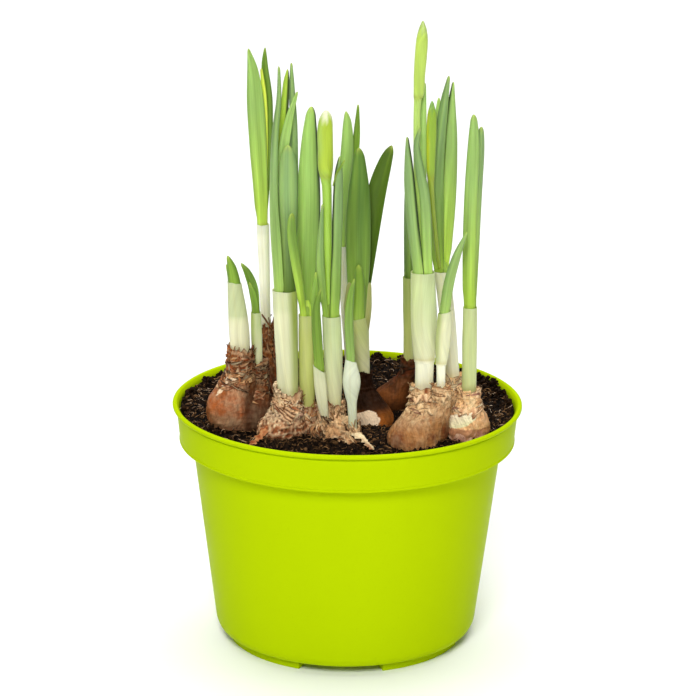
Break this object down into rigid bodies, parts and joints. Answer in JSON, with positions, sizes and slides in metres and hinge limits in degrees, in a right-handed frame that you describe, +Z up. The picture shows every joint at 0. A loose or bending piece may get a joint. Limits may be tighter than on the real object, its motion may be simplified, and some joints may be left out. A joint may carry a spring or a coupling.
{
  "type": "potted daffodil",
  "caption": "Dwarf daffodil bulbs in bud: strap leaves in pale sheaths rise from brown papery bulbs in dark compost, in a round tapered lime-green grow pot.",
  "frame": {"origin": "on the surface that the pot's feet stand on, at the middle of the overall box, which is the pot's axis", "axes": "+Z up along the pot's axis, +X to the right as the picture shows it, -Y towards the camera"},
  "size_m": [0.17, 0.17, 0.312],
  "materials": {
    "pot": "satin",
    "soil": "matte",
    "bulb_skin": "matte",
    "sheath": "satin",
    "leaf": "satin",
    "bud": "satin"
  },
  "bodies": {
    "root": {"pot": "pot", "soil": "soil", "bulb_1": "bulb_skin", "bulb_2": "bulb_skin", "bulb_3": "bulb_skin", "bulb_4": "bulb_skin", "bulb_5": "bulb_skin", "bulb_6": "bulb_skin", "bulb_7": "bulb_skin", "bulb_8": "bulb_skin", "sheath_1": "sheath", "sheath_2": "sheath", "sheath_3": "sheath", "sheath_4": "sheath", "sheath_5": "sheath", "sheath_6": "sheath", "sheath_7": "sheath", "sheath_8": "sheath", "sheath_9": "sheath", "sheath_10": "sheath", "sheath_11": "sheath", "sheath_12": "sheath", "sheath_13": "sheath", "sheath_14": "sheath", "sheath_15": "sheath", "leaves_1": "leaf", "leaves_2": "leaf", "leaves_3": "leaf", "leaves_4": "leaf", "leaves_5": "leaf", "leaves_6": "leaf", "leaves_7": "leaf", "leaves_8": "leaf", "leaves_9": "leaf", "leaves_10": "leaf", "leaves_11": "leaf", "leaves_12": "leaf", "leaves_13": "leaf", "leaves_14": "leaf", "leaves_15": "leaf", "bud_7": "bud", "bud_11": "bud", "bud_13": "bud"}
  },
  "joints": []
}
